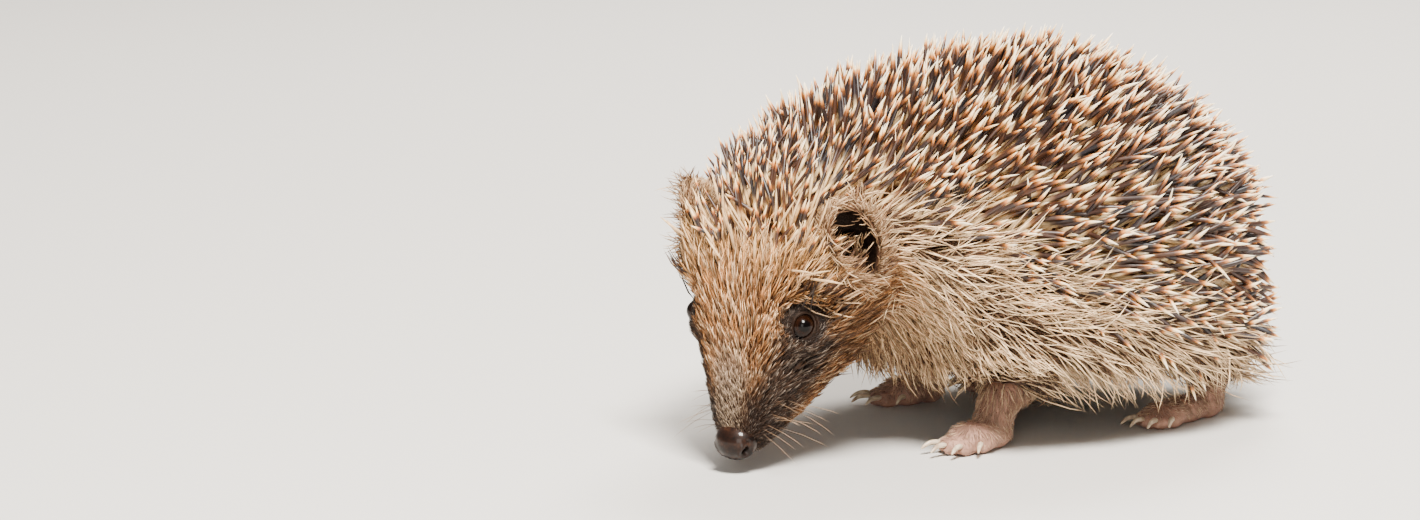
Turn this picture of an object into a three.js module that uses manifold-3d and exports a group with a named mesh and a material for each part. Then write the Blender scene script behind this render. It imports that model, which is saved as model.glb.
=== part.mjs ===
// A young European hedgehog, life size, walking with its head low and turned to its left.
// Millimetres, +Z up. The animal faces -Y, its left side is +X, and its feet stand at Z = 0.
// The solids give the outline of the live animal out to the tips of its quills and fur.
// The body is one smooth run of sections from nose to rump, parted into head, neck and trunk.
import * as THREE from "three";
import { mergeVertices } from "three/addons/utils/BufferGeometryUtils.js";
import Module from "manifold-3d";

const wasm = await Module();
wasm.setup();

// ---- Driving sizes, in millimetres and degrees ----

const GAP = 0.3; // clear space between neighbouring pieces
const SECTION_GAP = 0.035; // the same space along the body, as a share of the step between stations

// Head. Its frame lies at the nose tip: +X forward, +Y to the animal's left, +Z to the crown.
const NOSE_TIP = new THREE.Vector3(17.8, -85, 4.4);
const HEAD_TURN = 19; // towards the animal's left
const HEAD_PITCH = 56; // below the level

// Stations of the head: distance behind the nose tip, rise of the centre line, half width,
// half height above the centre line, half height below it, and turn and pitch of the section.
const HEAD_STATIONS = [
  [2, -0.2, 4.4, 3.4, 4.0, 19, 56],
  [7, 0.6, 7.2, 5.4, 9.6, 19, 56],
  [13, 1.8, 9.8, 8.2, 14.2, 19, 56],
  [23, 4.0, 14.6, 13.4, 19.5, 19, 56],
  [34, 6.5, 21.0, 18.2, 24.5, 19, 54],
  [45, 8.2, 26.0, 20.3, 27.0, 18, 48],
  [55, 8.8, 29.8, 20.0, 27.5, 15, 40],
];

// Stations of the neck: x, y, z, turn, pitch, half width, half height above and below.
const NECK_STATIONS = [
  [6, -51.5, 50.5, 9, 27, 36.8, 26, 32],
  [2, -39.5, 44.5, 4, 13, 43, 39.8, 30],
];

// Trunk: the flanks are widest low down, and the skirt of long hair hangs lowest at the rump.
const TRUNK = {
  middle: 2.5, // along Y
  length: 136,
  width: 104,
  start: -0.42, // where the neck gives way to the trunk, as a share of the half length
  steps: 9,
  backHeight: 92, // highest quill tips
  flankHeight: 35, // widest line of the flanks
  chestHeight: 13.5, // lowest hairs under the chest
  skirtHeight: 6.5, // lowest hairs under the rump
  skirtReachesLowest: 0.2, // as a share of the half length
  backFullness: 2.2, // 2 is an ellipse, more is fuller towards the rump
  skirtFullness: 5,
};

// Squareness of the sections: 1 is round, less is squarer.
const BACK_SQUARENESS = 0.95;
const THROAT_SQUARENESS = 1;
const NECK_SQUARENESS = 0.8;
const SKIRT_SQUARENESS = 0.62;

const NOSE_PAD = { behind: 3.6, rise: 0.2, length: 8.4, width: 9.6, height: 8.0 };
const NOSTRIL = { behind: 0.6, side: 2.8, rise: 0.3, length: 3.6, width: 2.2, height: 2.4 };

const EYE = { behind: 29.2, side: 15.0, rise: 11.5, radius: 3.1 };
const EYE_SOCKET = { side: 18.4, radius: 4.8 }; // the bare skin round the eye lies in this hollow

const EAR = { behind: 49.0, side: 23.8, rise: 15.4, height: 20, width: 13, depth: 7.6, wall: 1.2 };
const EAR_RIM = 1; // the rim stands this far in front of the ear's middle
const EAR_OPENING = new THREE.Vector3(0.55, 0.84, 0); // way it opens, in the head's frame
const EAR_UPRIGHT = new THREE.Vector3(-0.3, 0.09, 0.95); // from its base to its tip

// The belly is a hollow within the skirt, where the legs come out.
const BELLY = { middle: 2, length: 112, width: 86, height: 15.5, squareness: 0.55 };

const TAIL = { middle: 64, height: 13.5, length: 22, thickness: 6.5, droop: 22 };

// Legs: where the wrist or heel stands, where the leg enters the trunk, and how far the toes turn out.
const LEGS = {
  foreleg_left: { kind: "fore", side: 1, ankle: [26, -17], top: [29.5, -9], toesOut: 8 },
  foreleg_right: { kind: "fore", side: -1, ankle: [-26, 1], top: [-29.5, -5], toesOut: 8 },
  hindleg_left: { kind: "hind", side: 1, ankle: [25, 46], top: [29, 39], toesOut: 12 },
  hindleg_right: { kind: "hind", side: -1, ankle: [-25, 37], top: [-29, 32], toesOut: 12 },
};
const LEG = { bottom: 3.5, top: 31, ankleLength: 6, ankleRadius: 4.3, middleRadius: 6.5, topRadius: 7.6 };

// Feet. Each pad: distance in front of the ankle, length, width, height and height of its middle.
// Each toe: its angle, outer side positive, and how far it reaches in front of the ankle.
// The toes fan out from a point `fan` in front of the ankle.
const FEET = {
  fore: {
    pads: [
      [0.5, 9, 8.6, 7.6, 3.2],
      [6.5, 12.5, 13, 7.4, 3.1],
    ],
    toes: [
      [38, 12.0],
      [18, 16.2],
      [1, 17.4],
      [-15, 16.6],
      [-36, 11.2],
    ],
    toe: { length: 8.6, width: 4.0, height: 4.4 },
    fan: 3,
  },
  hind: {
    pads: [
      [0.5, 11, 7.6, 7.4, 3.1],
      [8.0, 15, 8.8, 7.0, 2.9],
      [15.0, 12, 11.6, 6.4, 2.6],
    ],
    toes: [
      [30, 20.5],
      [14, 23.6],
      [0, 24.6],
      [-13, 23.8],
      [-34, 17.8],
    ],
    toe: { length: 8.6, width: 3.8, height: 4.2 },
    fan: 10,
  },
};
const TOE_SINK = 0.44; // height of a toe's middle, as a share of its height: the floor cuts it flat
const CLAW = { length: 6.2, rooted: 2.2, rise: 2.5, arch: 0.35, drop: 1.5, radius: 0.8, tipRadius: 0.28 };

const COLOURS = {
  quills: 0x8a7660,
  face: 0xa0866a,
  leg: 0x8d7561,
  foot: 0x6e5a4c,
  claw: 0xc9b79a,
  nose: 0x1d1512,
  ear: 0x4a3a2e,
  eye: 0x0a0604,
};

// ---- Frames: +X forward, +Y to the animal's left, +Z towards its back ----

function frameAt(place, turnDegrees, pitchDegrees) {
  const turn = THREE.MathUtils.degToRad(turnDegrees);
  const pitch = THREE.MathUtils.degToRad(pitchDegrees);
  const forward = new THREE.Vector3(Math.sin(turn), -Math.cos(turn), 0);
  forward.multiplyScalar(Math.cos(pitch));
  forward.z = -Math.sin(pitch);
  const left = new THREE.Vector3(Math.cos(turn), Math.sin(turn), 0);
  const backward = new THREE.Vector3().crossVectors(forward, left);
  return new THREE.Matrix4().makeBasis(forward, left, backward).setPosition(place);
}

const levelFrame = new THREE.Matrix4();
const headFrame = frameAt(NOSE_TIP, HEAD_TURN, HEAD_PITCH);

// ---- Solids ----

function solidOf(geometry) {
  const bare = geometry.toNonIndexed();
  bare.deleteAttribute("normal");
  bare.deleteAttribute("uv");
  const merged = mergeVertices(bare, 1e-4);
  const vertProperties = merged.attributes.position.array;
  const triVerts = new Uint32Array(merged.index.array);
  const build = () => new wasm.Manifold(new wasm.Mesh({ numProp: 3, vertProperties, triVerts }));
  const solid = build();
  if (solid.volume() > 0) return solid;
  for (let i = 0; i < triVerts.length; i += 3) {
    [triVerts[i + 1], triVerts[i + 2]] = [triVerts[i + 2], triVerts[i + 1]];
  }
  return build();
}

function geometryOf(solid) {
  const { numProp, numVert, vertProperties, triVerts } = solid.getMesh();
  const places = new Float32Array(numVert * 3);
  for (let i = 0; i < numVert; i++) {
    places.set(vertProperties.subarray(i * numProp, i * numProp + 3), i * 3);
  }
  const geometry = new THREE.BufferGeometry();
  geometry.setAttribute("position", new THREE.BufferAttribute(places, 3));
  geometry.setIndex(new THREE.BufferAttribute(triVerts, 1));
  geometry.computeVertexNormals();
  return geometry;
}

const signedPower = (value, power) => Math.sign(value) * Math.abs(value) ** power;

// A ball whose every point is moved to place(share, angle): the share runs from 0 at one pole
// to 1 at the other, and the angle once round.
function mouldedBall(around, along, place) {
  const ball = new THREE.SphereGeometry(1, around, along);
  const spots = ball.attributes.position;
  const uv = ball.attributes.uv;
  for (let i = 0; i < spots.count; i++) {
    const spot = place(1 - uv.getY(i), 2 * Math.PI * uv.getX(i));
    spots.setXYZ(i, spot.x, spot.y, spot.z);
  }
  return ball;
}

// An egg of full sizes along the frame's axes, grown by `extra` all round.
function egg(frame, centre, sizes, { extra = 0, around = 12, along = 8, squareness = 1 } = {}) {
  const ball = mouldedBall(around, along, (share, angle) => {
    const ring = Math.sin(Math.PI * share);
    const x = signedPower(ring * Math.cos(angle), squareness);
    const y = signedPower(ring * Math.sin(angle), squareness);
    const z = signedPower(Math.cos(Math.PI * share), squareness);
    return new THREE.Vector3(x, y, z);
  });
  ball.scale(...sizes.map((size) => size / 2 + extra));
  ball.translate(...centre);
  ball.applyMatrix4(frame);
  return solidOf(ball);
}

// A smooth run through rows of numbers: whole values of `at` give the rows themselves.
function between(rows, at) {
  const last = rows.length - 1;
  const i = THREE.MathUtils.clamp(Math.floor(at), 0, last - 1);
  const t = at - i;
  const before = rows[Math.max(i - 1, 0)];
  const after = rows[Math.min(i + 2, last)];
  return rows[i].map((value, k) => {
    const next = rows[i + 1][k];
    const slopeHere = (next - before[k]) / 2;
    const slopeThere = (after[k] - value) / 2;
    const bend = 2 * (value - next) + slopeHere + slopeThere;
    const rise = 3 * (next - value) - 2 * slopeHere - slopeThere;
    return value + t * (slopeHere + t * (rise + t * bend));
  });
}

// A rod with round ends through rows of [x, y, z, radius] in the frame.
function rod(frame, rows, { extra = 0, around, along }) {
  const last = rows.length - 1;
  const spotAt = (share) => new THREE.Vector3(...between(rows, share * last));
  const ball = mouldedBall(around, along, (share, angle) => {
    const [, , , radius] = between(rows, share * last);
    const run = spotAt(Math.min(share + 0.02, 1)).sub(spotAt(Math.max(share - 0.02, 0))).normalize();
    const side = new THREE.Vector3(0, 1, 0).cross(run).normalize();
    const rest = new THREE.Vector3().crossVectors(run, side);
    const rounding = Math.sqrt(Math.min(1, 2 * Math.sin(Math.PI * share)));
    const width = (radius + extra) * rounding;
    const spot = spotAt(share).addScaledVector(run, share < 0.5 ? -extra : extra);
    return spot.addScaledVector(side, width * Math.cos(angle)).addScaledVector(rest, width * Math.sin(angle));
  });
  ball.applyMatrix4(frame);
  return solidOf(ball);
}

// ---- The body, as stations of
// [x, y, z, turn, pitch, half width, half height above, half height below, squareness below] ----

const bodyRows = HEAD_STATIONS.map(([behind, rise, halfWidth, above, below, turn, pitch]) => {
  const { x, y, z } = new THREE.Vector3(-behind, 0, rise).applyMatrix4(headFrame);
  return [x, y, z, turn, pitch, halfWidth, above, below, THROAT_SQUARENESS];
});
const HEAD_END = bodyRows.length - 1;

for (const station of NECK_STATIONS) bodyRows.push([...station, NECK_SQUARENESS]);
const NECK_END = bodyRows.length - 1;

const roundTo = (t, fullness) => Math.max(0, 1 - Math.abs(t) ** fullness) ** (1 / fullness);
for (let i = 0; i <= TRUNK.steps; i++) {
  const startAngle = Math.asin(TRUNK.start);
  const t = Math.sin(THREE.MathUtils.lerp(startAngle, Math.PI / 2, i / TRUNK.steps));
  const lowered = THREE.MathUtils.smoothstep(t, TRUNK.start, TRUNK.skirtReachesLowest);
  const bottom = THREE.MathUtils.lerp(TRUNK.chestHeight, TRUNK.skirtHeight, lowered);
  const halfWidth = (TRUNK.width / 2) * roundTo(t, TRUNK.backFullness);
  const above = (TRUNK.backHeight - TRUNK.flankHeight) * roundTo(t, TRUNK.backFullness);
  const below = (TRUNK.flankHeight - bottom) * roundTo(t, TRUNK.skirtFullness);
  const y = TRUNK.middle + (TRUNK.length / 2) * t;
  bodyRows.push([0, y, TRUNK.flankHeight, 0, 0, halfWidth, above, below, SKIRT_SQUARENESS]);
}
const BODY_END = bodyRows.length - 1;

function bodyPoint(at, angle, extra) {
  const [x, y, z, turn, pitch, halfWidth, above, below, squareBelow] = between(bodyRows, at);
  const high = Math.sin(angle) > 0;
  const power = high ? BACK_SQUARENESS : squareBelow;
  const up = signedPower(Math.sin(angle), power) * ((high ? above : below) + extra);
  const across = signedPower(Math.cos(angle), power) * (halfWidth + extra);
  return new THREE.Vector3(0, across, up).applyMatrix4(frameAt(new THREE.Vector3(x, y, z), turn, pitch));
}

// A length of the body between two stations, with a flat face at each end but the rump.
function bodyLength(from, to, around, along, extra = 0) {
  const flatEnd = to < BODY_END ? 1 : 0;
  const ball = mouldedBall(around, along, (share, angle) => {
    const row = Math.round(share * along);
    const way = THREE.MathUtils.clamp((row - 1) / (along - 1 - flatEnd), 0, 1);
    const at = THREE.MathUtils.lerp(from, to, way);
    const onAxis = row === 0 || row === along;
    return onAxis ? new THREE.Vector3(...between(bodyRows, at)) : bodyPoint(at, angle, extra);
  });
  return solidOf(ball);
}

// ---- Face ----

const nosePad = (extra) => {
  const { behind, rise, length, width, height } = NOSE_PAD;
  return egg(headFrame, [-behind, 0, rise], [length, width, height], { extra });
};

const nostril = (side) => {
  const { behind, rise, length, width, height } = NOSTRIL;
  const centre = [-behind, side * NOSTRIL.side, rise];
  return egg(headFrame, centre, [length, width, height], { around: 6, along: 5 });
};

const ballByEye = (side, distance, radius) => {
  const size = 2 * radius;
  return egg(headFrame, [-EYE.behind, side * distance, EYE.rise], [size, size, size]);
};

// The ear's own frame: +X out of its opening, +Z from its base to its tip.
function earFrame(side) {
  const mirror = new THREE.Vector3(1, side, 1);
  const upright = EAR_UPRIGHT.clone().multiply(mirror).normalize();
  const opening = EAR_OPENING.clone().multiply(mirror);
  opening.addScaledVector(upright, -opening.dot(upright)).normalize();
  const across = new THREE.Vector3().crossVectors(upright, opening);
  const inHead = new THREE.Matrix4().makeBasis(opening, across, upright);
  inHead.setPosition(-EAR.behind, side * EAR.side, EAR.rise);
  return headFrame.clone().multiply(inHead);
}

const earEgg = (side, wall) => {
  const sizes = [EAR.depth, EAR.width, EAR.height].map((size) => size - 2 * wall);
  return egg(earFrame(side), [0, 0, 0], sizes, { around: 10, along: 8 });
};

// The ear is a cup: the front of the egg is cut away, and its hollow runs on into the head.
function ear(side) {
  const front = new THREE.BoxGeometry(EAR.depth, EAR.width * 2, EAR.height * 2);
  front.translate(EAR.depth / 2 + EAR_RIM, 0, 0);
  front.applyMatrix4(earFrame(side));
  return earEgg(side, 0).subtract(earEgg(side, EAR.wall)).subtract(solidOf(front));
}

// ---- Legs, feet and claws ----

const floor = solidOf(new THREE.BoxGeometry(400, 400, 40).translate(0, 0, -20));

function leg({ ankle, top }, extra) {
  const middle = [(ankle[0] + top[0]) / 2, (ankle[1] + top[1]) / 2, (LEG.bottom + LEG.top) / 2];
  const rows = [
    [...ankle, LEG.bottom, LEG.ankleRadius],
    [...ankle, LEG.bottom + LEG.ankleLength, LEG.ankleRadius],
    [...middle, LEG.middleRadius],
    [...top, LEG.top, LEG.topRadius],
  ];
  return rod(levelFrame, rows, { extra, around: 8, along: 6 });
}

const footFrame = ({ side, ankle, toesOut }) =>
  frameAt(new THREE.Vector3(ankle[0], ankle[1], 0), side * toesOut, 0);

function toeFrame(plan, angle) {
  const spread = new THREE.Matrix4().makeRotationZ(THREE.MathUtils.degToRad(plan.side * angle));
  spread.setPosition(FEET[plan.kind].fan, 0, 0);
  return footFrame(plan).multiply(spread);
}

function claw(plan, [angle, reach], extra) {
  const start = reach - FEET[plan.kind].fan - CLAW.rooted;
  const rows = [
    [start, 0, CLAW.rise, CLAW.radius],
    [start + CLAW.length * 0.35, 0, CLAW.rise + CLAW.arch, CLAW.radius],
    [start + CLAW.length * 0.7, 0, CLAW.rise, CLAW.radius * 0.75],
    [start + CLAW.length, 0, CLAW.rise - CLAW.drop, CLAW.tipRadius],
  ];
  return rod(toeFrame(plan, angle), rows, { extra, around: 5, along: 5 });
}

function foot(plan) {
  const { pads, toes, toe, fan } = FEET[plan.kind];
  const lumps = pads.map(([ahead, length, width, height, middle]) =>
    egg(footFrame(plan), [ahead, 0, middle], [length, width, height], { around: 8, along: 6 }),
  );
  for (const [angle, reach] of toes) {
    const centre = [reach - fan - toe.length / 2, 0, toe.height * TOE_SINK];
    const sizes = [toe.length, toe.width, toe.height];
    lumps.push(egg(toeFrame(plan, angle), centre, sizes, { around: 6, along: 5 }));
  }
  const whole = lumps.reduce((sum, lump) => sum.add(lump)).subtract(floor);
  return toes.reduce((rest, toePlan) => rest.subtract(claw(plan, toePlan, GAP)), whole);
}

// ---- Tail ----

const tail = (extra) => {
  const frame = frameAt(new THREE.Vector3(0, TAIL.middle, TAIL.height), 180, TAIL.droop);
  return egg(frame, [0, 0, 0], [TAIL.length, TAIL.thickness, TAIL.thickness], { extra, around: 8, along: 7 });
};

// ---- The whole animal ----

const hedgehog = new THREE.Group();

function add(name, solid, color, roughness = 0.9) {
  const material = new THREE.MeshStandardMaterial({ color, roughness, metalness: 0 });
  const mesh = new THREE.Mesh(geometryOf(solid), material);
  mesh.name = name;
  hedgehog.add(mesh);
}

const headAllRound = bodyLength(0, HEAD_END + 0.8, 28, 18, GAP);
let head = bodyLength(0, HEAD_END, 26, 15).subtract(nosePad(GAP));
let nose = nosePad(0);
for (const [word, side] of [["left", 1], ["right", -1]]) {
  head = head.subtract(ballByEye(side, EYE.side, EYE.radius + GAP));
  head = head.subtract(ballByEye(side, EYE_SOCKET.side, EYE_SOCKET.radius));
  head = head.subtract(earEgg(side, EAR.wall));
  nose = nose.subtract(nostril(side));
  add(`eye_${word}`, ballByEye(side, EYE.side, EYE.radius), COLOURS.eye, 0.05);
  add(`ear_${word}`, ear(side).subtract(headAllRound), COLOURS.ear);
}
add("nose", nose, COLOURS.nose, 0.3);
add("head", head, COLOURS.face);
add("neck", bodyLength(HEAD_END + SECTION_GAP, NECK_END, 28, 6), COLOURS.quills);

const belly = egg(levelFrame, [0, BELLY.middle, 0], [BELLY.width, BELLY.length, 2 * BELLY.height], {
  around: 16,
  along: 8,
  squareness: BELLY.squareness,
});
let trunk = bodyLength(NECK_END + SECTION_GAP, BODY_END, 32, 16).subtract(belly).subtract(tail(GAP));
for (const [name, plan] of Object.entries(LEGS)) {
  const footName = name.replace("leg", "foot");
  const footSolid = foot(plan);
  trunk = trunk.subtract(leg(plan, GAP));
  add(name, leg(plan, 0).subtract(footSolid), COLOURS.leg);
  add(footName, footSolid, COLOURS.foot);
  FEET[plan.kind].toes.forEach((toePlan, i) => {
    add(`claw_${footName}_${i + 1}`, claw(plan, toePlan, 0), COLOURS.claw, 0.5);
  });
}
add("tail", tail(0), COLOURS.leg);
add("trunk", trunk, COLOURS.quills);

// The origin lies on the floor under the middle of the whole animal.
const box = new THREE.Box3().setFromObject(hedgehog);
hedgehog.position.set(-(box.min.x + box.max.x) / 2, -(box.min.y + box.max.y) / 2, -box.min.z);

export default hedgehog;
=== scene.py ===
"""A young hedgehog, life size, head down and sniffing: skin, eyes, nose, claws, quills and fur.

One skin stands for the flesh. Quills and locks of fur are solid meshes rooted on it.
Places and sizes on the animal are in millimetres, which MM turns into metres. Camera, lights and
materials are in metres.
"""

import math

import bpy
import numpy as np
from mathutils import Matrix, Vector
from mathutils.bvhtree import BVHTree
from mathutils.kdtree import KDTree


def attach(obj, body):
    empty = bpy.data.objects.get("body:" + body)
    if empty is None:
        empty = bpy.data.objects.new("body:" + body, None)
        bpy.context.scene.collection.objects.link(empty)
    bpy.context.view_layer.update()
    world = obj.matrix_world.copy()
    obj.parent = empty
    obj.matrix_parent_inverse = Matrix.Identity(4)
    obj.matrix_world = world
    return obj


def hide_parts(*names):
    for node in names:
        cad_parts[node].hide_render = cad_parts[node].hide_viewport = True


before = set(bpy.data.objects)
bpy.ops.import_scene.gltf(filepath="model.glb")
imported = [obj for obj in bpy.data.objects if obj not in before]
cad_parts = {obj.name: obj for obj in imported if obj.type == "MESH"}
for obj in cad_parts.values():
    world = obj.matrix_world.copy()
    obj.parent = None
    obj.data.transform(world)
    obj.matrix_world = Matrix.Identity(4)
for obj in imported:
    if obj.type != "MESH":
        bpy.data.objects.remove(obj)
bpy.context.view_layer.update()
bpy.ops.object.select_all(action="DESELECT")

MM = 0.001
OUTSIDE_VOXEL, CORE_VOXEL, SKIN_VOXEL = 1.5, 1.3, 0.84

# The head's own directions, from the tip of the nose.
NOSE_TIP = np.array((17.8, -78.114, 4.4))
HEAD_TURN, HEAD_PITCH = math.radians(19), math.radians(56)
FORWARD = np.array((
    math.sin(HEAD_TURN) * math.cos(HEAD_PITCH),
    -math.cos(HEAD_TURN) * math.cos(HEAD_PITCH),
    -math.sin(HEAD_PITCH),
))
LEFT = np.array((math.cos(HEAD_TURN), math.sin(HEAD_TURN), 0.0))
CROWN = np.cross(FORWARD, LEFT)

# Eyes and ears: places behind, beside and above the nose, and sizes of what shapes them.
EYE_BEHIND, EYE_SIDE, EYE_RISE, EYE_RADIUS = 29.2, 15.0, 11.5, 3.25
EYE_SET = 0.9
EAR_BEHIND, EAR_SIDE, EAR_RISE = 49.0, 23.8, 15.4
EAR_SIZE, EAR_HOLLOW, EAR_CANAL = (11.5, 12.4, 20), (11.2, 9.8, 17), (12, 6.4, 9)
EAR_REACH, CANAL_REACH = (7, 7.2, 10.4), (6, 3.6, 5)
HOLLOW_OUT, CANAL_IN, CANAL_DOWN = 0.4, 4, 3
EAR_IN, RIM_BALL, RIM_OUT = 2.2, 80, 1.4
MUZZLE_END, MUZZLE_END_BEHIND = (10, 9.6, 8.6), 7.2

FEET = ("forefoot_left", "forefoot_right", "hindfoot_left", "hindfoot_right")
LIMBS = ("foreleg_left", "foreleg_right", "hindleg_left", "hindleg_right") + FEET
EARS = ("ear_left", "ear_right")
FLESH = ("head", "neck", "trunk", "tail") + EARS + LIMBS


# ---------------------------------------------------------------- small helpers


def smooth(low, high, value):
    """0 below low, 1 above high, and a soft step between them."""
    t = np.clip((np.asarray(value, float) - low) / (high - low), 0, 1)
    return t * t * (3 - 2 * t)


def unit(vectors):
    length = np.linalg.norm(vectors, axis=-1, keepdims=True)
    return vectors / np.maximum(length, 1e-12)


def across(vectors, normals):
    """The part of each vector that lies along the surface."""
    return unit(vectors - normals * np.sum(vectors * normals, axis=-1)[:, None])


def in_head(places):
    """How far behind the nose, to the left and towards the crown each place in mm lies."""
    away = places - NOSE_TIP
    return -away @ FORWARD, away @ LEFT, away @ CROWN


def behind_nose(places):
    return in_head(places)[0]


def head_place(behind, side, rise):
    """The place in mm that lies so far behind the nose, to the left and towards the crown."""
    return NOSE_TIP - FORWARD * behind + LEFT * side + CROWN * rise


def colour(red, green, blue):
    """A colour as it is seen on a screen, 0 to 255, as linear light."""
    return np.array([(c / 255) ** 2.2 for c in (red, green, blue)])


def mix(a, b, share):
    share = np.asarray(share)[..., None]
    return a * (1 - share) + b * share


def link(name, mesh):
    made = bpy.data.objects.new(name, mesh)
    bpy.context.scene.collection.objects.link(made)
    return made


def only(made):
    """Makes this object the only one that operators act on."""
    bpy.ops.object.select_all(action="DESELECT")
    made.select_set(True)
    bpy.context.view_layer.objects.active = made


def apply(made, kind, **settings):
    """Adds a modifier and applies it."""
    only(made)
    modifier = made.modifiers.new(kind.lower(), kind)
    for key, value in settings.items():
        setattr(modifier, key, value)
    bpy.ops.object.modifier_apply(modifier=modifier.name)


def read(made):
    """The object's vertex places in mm."""
    places = np.zeros(len(made.data.vertices) * 3)
    made.data.vertices.foreach_get("co", places)
    return places.reshape(-1, 3) / MM


def write(made, places):
    made.data.vertices.foreach_set("co", (places * MM).ravel())
    made.data.update()


def normals_of(made):
    normals = np.zeros(len(made.data.vertices) * 3)
    made.data.vertex_normals.foreach_get("vector", normals)
    return normals.reshape(-1, 3)


def edges_of(made):
    edges = np.zeros(len(made.data.edges) * 2, int)
    made.data.edges.foreach_get("vertices", edges)
    return edges.reshape(-1, 2)


def neighbours_mean(values, edges):
    """The mean of each vertex's neighbours."""
    total = np.zeros_like(values)
    count = np.bincount(edges.ravel(), minlength=len(values))
    for axis in range(values.shape[1]):
        column = values[:, axis]
        total[:, axis] = np.bincount(edges[:, 0], column[edges[:, 1]], len(values))
        total[:, axis] += np.bincount(edges[:, 1], column[edges[:, 0]], len(values))
    return total / np.maximum(count, 1)[:, None]


def relax(made, rounds, strength):
    """Smooths the object's surface by a share that may differ from place to place."""
    places, edges = read(made), edges_of(made)
    strength = np.broadcast_to(strength, len(places))[:, None]
    for _ in range(rounds):
        places += (neighbours_mean(places, edges) - places) * strength
    write(made, places)


def edit_all(operator, **settings):
    """Runs an edit-mode operator on the whole of the active object."""
    bpy.ops.object.mode_set(mode="EDIT")
    bpy.ops.mesh.select_all(action="SELECT")
    operator(**settings)
    bpy.ops.object.mode_set(mode="OBJECT")


def mark(mesh, name, values):
    """Keeps a number for each vertex, for a material to read."""
    mesh.attributes.new(name, "FLOAT", "POINT").data.foreach_set("value", values)


def tinge(mesh, tints):
    """Keeps a colour for each vertex, for a material to read."""
    tints = np.concatenate([tints, np.ones((len(tints), 1))], axis=1)
    mesh.attributes.new("tint", "FLOAT_COLOR", "POINT").data.foreach_set("color", tints.ravel())


def joined(parts):
    """Makes the parts one object, and the active one."""
    bpy.ops.object.select_all(action="DESELECT")
    for part in parts:
        part.select_set(True)
    bpy.context.view_layer.objects.active = parts[0]
    if len(parts) > 1:
        bpy.ops.object.join()
    return parts[0]


def copy_of(nodes, name):
    """The named CAD solids as one new mesh with its corners merged."""
    made = joined([link(node + "_copy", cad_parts[node].data.copy()) for node in nodes])
    made.name = name
    made.data.materials.clear()
    edit_all(bpy.ops.mesh.remove_doubles, threshold=0.00001)
    return made


def fatten(made, amount):
    """Moves the surface outwards by an amount in mm."""
    only(made)
    edit_all(bpy.ops.transform.shrink_fatten, value=amount * MM)


def remesh(made, voxel):
    apply(made, "REMESH", mode="VOXEL", voxel_size=voxel * MM)


def refine(made, near, reach):
    """Subdivides the faces within reach of a place, both in mm."""
    centres = np.zeros(len(made.data.polygons) * 3)
    made.data.polygons.foreach_get("center", centres)
    away = np.linalg.norm(centres.reshape(-1, 3) / MM - near, axis=1)
    only(made)
    bpy.context.tool_settings.mesh_select_mode = (False, False, True)
    bpy.ops.object.mode_set(mode="EDIT")
    bpy.ops.mesh.select_all(action="DESELECT")
    bpy.ops.object.mode_set(mode="OBJECT")
    made.data.polygons.foreach_set("select", away < reach)
    bpy.ops.object.mode_set(mode="EDIT")
    bpy.ops.mesh.subdivide(number_cuts=1)
    bpy.ops.object.mode_set(mode="OBJECT")


def tree_of(made):
    """The object's surface in mm, for finding the places on it that are nearest to others."""
    mesh = made.data
    corners = [vertex.co / MM for vertex in mesh.vertices]
    return BVHTree.FromPolygons(corners, [tuple(face.vertices) for face in mesh.polygons])


def height_over(tree, places):
    """How far outside a closed surface each place lies, and less than 0 inside it."""
    heights = np.zeros(len(places))
    for i, place in enumerate(places):
        near, normal, _, away = tree.find_nearest(Vector(place))
        outside = (Vector(place) - near).dot(normal) > 0
        heights[i] = away if outside else -away
    return heights


# ---------------------------------------------------------------- the coat's outside


outside = copy_of(FLESH, "outside")
fatten(outside, 0.2)
remesh(outside, OUTSIDE_VOXEL)
relax(outside, 2, 0.5)
outside_tree = tree_of(outside)
bpy.data.objects.remove(outside)


# ---------------------------------------------------------------- regions of the body


# The quills' border: behind the nose by distance to the side, and height by place along the trunk.
HEAD_BORDER = ([0, 11, 18.7, 21, 26, 31, 36], [35, 37, 43, 53, 59, 61, 60])
TRUNK_BORDER = ([-50, -38, -24, -5, 18, 43, 57, 75], [58, 53, 46, 38, 29, 21, 19, 19])
# The coat's depth on the head, by distance behind the nose.
HEAD_DEPTH = ([0, 10, 18, 26, 34, 42, 52, 62], [0.7, 0.9, 1.5, 2.2, 3.2, 5.5, 9, 11.5])


def border_of_quills(places):
    """Above 0 where quills grow, and below 0 in fur, in mm from the border."""
    behind, side, rise = in_head(places)
    y, z = places[:, 1], places[:, 2]
    on_head = behind - np.interp(abs(side), *HEAD_BORDER)
    on_head = np.minimum(on_head, rise + 4)
    on_trunk = z - np.interp(y, *TRUNK_BORDER)
    share = smooth(-52, -36, y)
    return on_head * (1 - share) + on_trunk * share


def coat_depth(places, normals):
    """How far the skin lies inside the coat's outside, in mm."""
    behind, _, rise = in_head(places)
    y = places[:, 1]
    on_head = np.interp(behind, *HEAD_DEPTH)
    on_head *= 1 - 0.35 * smooth(2, -10, rise) * smooth(20, 30, behind)
    on_body = 10.5 + 4.5 * smooth(0.1, 0.9, normals[:, 2]) - 2 * smooth(0, -0.6, normals[:, 2])
    share = np.maximum(smooth(48, 64, behind) * smooth(-20, 0, rise), smooth(-56, -38, y))
    depth = on_head * (1 - share) + on_body * share
    for hand in (1, -1):
        away = np.linalg.norm(places - head_place(EYE_BEHIND, EYE_SIDE * hand, EYE_RISE), axis=1)
        depth = np.minimum(depth, 0.9 + 0.3 * np.maximum(away - 5, 0))
    return depth


# ---------------------------------------------------------------- markings of skin and coat, with painted shade


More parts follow.
